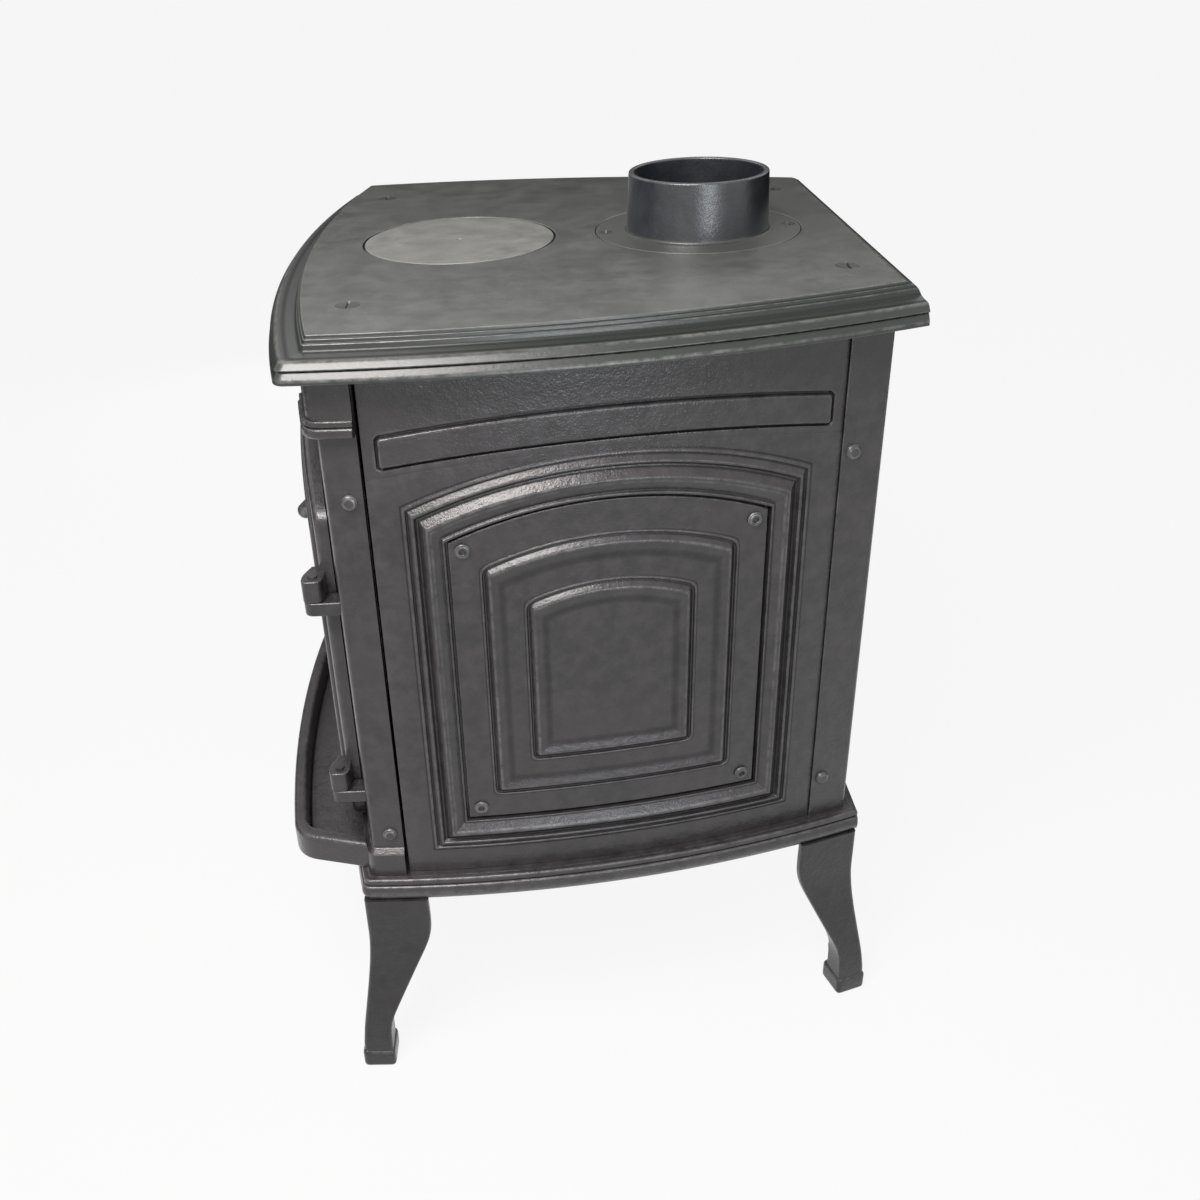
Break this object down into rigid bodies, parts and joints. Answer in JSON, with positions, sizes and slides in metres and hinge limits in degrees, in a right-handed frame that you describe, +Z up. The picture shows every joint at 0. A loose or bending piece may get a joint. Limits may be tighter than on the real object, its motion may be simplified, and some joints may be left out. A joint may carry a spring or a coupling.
{
  "type": "wood stove",
  "caption": "Free-standing cast iron wood stove: bowed body on splayed legs, arched glazed door, lift-out hotplate, top flue collar, panelled sides and an ash lip.",
  "frame": {"origin": "middle of the bounding box at floor level, under the toes", "axes": "+Z up, the door faces -Y, +X is the side the door is hinged on"},
  "size_m": [0.5808, 0.5852, 0.768],
  "materials": {
    "body_iron": "satin black stove polish on sand-cast iron",
    "leg_iron": "satin black stove polish on sand-cast iron",
    "top_iron": "ground cast iron, lightly blacked",
    "hotplate_iron": "ground cast iron, worn bright",
    "door_iron": "satin black stove polish on sand-cast iron",
    "fire_iron": "raw cast iron, scaled by heat",
    "black_fasteners": "blacked steel",
    "bright_steel": "bare turned steel",
    "handle_iron": "satin black, worn at the tip",
    "sheet_steel": "black sheet steel",
    "window_glass": "heat-proof glass with a faint amber tint",
    "seal_rope": "woven glass-fibre seal",
    "firebrick": "pressed vermiculite board, sooted"
  },
  "bodies": {
    "body": {"base_plate": "body_iron", "front_frame": "body_iron", "side_panel_right": "body_iron", "side_panel_left": "body_iron", "side_cover_right": "body_iron", "side_cover_left": "body_iron", "rear_panel": "body_iron", "ash_lip": "body_iron", "flue_collar": "body_iron", "leg_front_right": "leg_iron", "leg_front_left": "leg_iron", "leg_rear_right": "leg_iron", "leg_rear_left": "leg_iron", "top_plate": "top_iron", "grate_bed": "fire_iron", "grate": "fire_iron", "baffle": "fire_iron", "log_guard": "fire_iron", "cover_bolts": "black_fasteners", "flange_bolts": "black_fasteners", "leg_bolts": "black_fasteners", "lip_bolts": "black_fasteners", "collar_screws": "black_fasteners", "tie_rods": "black_fasteners", "tie_rod_nuts": "black_fasteners", "hinge_pins": "bright_steel", "ash_pan": "sheet_steel", "slide_guides": "sheet_steel", "side_brick_right": "firebrick", "side_brick_left": "firebrick", "rear_brick": "firebrick"},
    "door": {"door": "door_iron", "door_glass": "window_glass", "glass_gasket": "seal_rope", "glass_ring": "bright_steel", "ring_screws": "bright_steel", "door_rope": "seal_rope"},
    "handle": {"handle_lever": "handle_iron", "handle_spindle": "bright_steel", "latch_tongue": "bright_steel", "spindle_nut": "bright_steel"},
    "hotplate": {"hotplate": "hotplate_iron"},
    "air_slide": {"air_slide": "sheet_steel", "air_knob": "handle_iron"}
  },
  "joints": [
    {"name": "door_hinge", "type": "hinge", "parent": "body", "child": "door", "pos_m": [0.232, -0.20394, 0.284], "axis": [0, 0, 1], "range_deg": [0, 110]},
    {"name": "handle_turn", "type": "hinge", "parent": "door", "child": "handle", "pos_m": [-0.168, -0.22178, 0.419], "axis": [0, 1, 0], "range_deg": [0, 80]},
    {"name": "hotplate_lift", "type": "slide", "parent": "body", "child": "hotplate", "axis": [0, 0, 1], "range_m": [0, 0.06]},
    {"name": "air_pull", "type": "slide", "parent": "body", "child": "air_slide", "axis": [0, -1, 0], "range_m": [0, 0.032]}
  ]
}
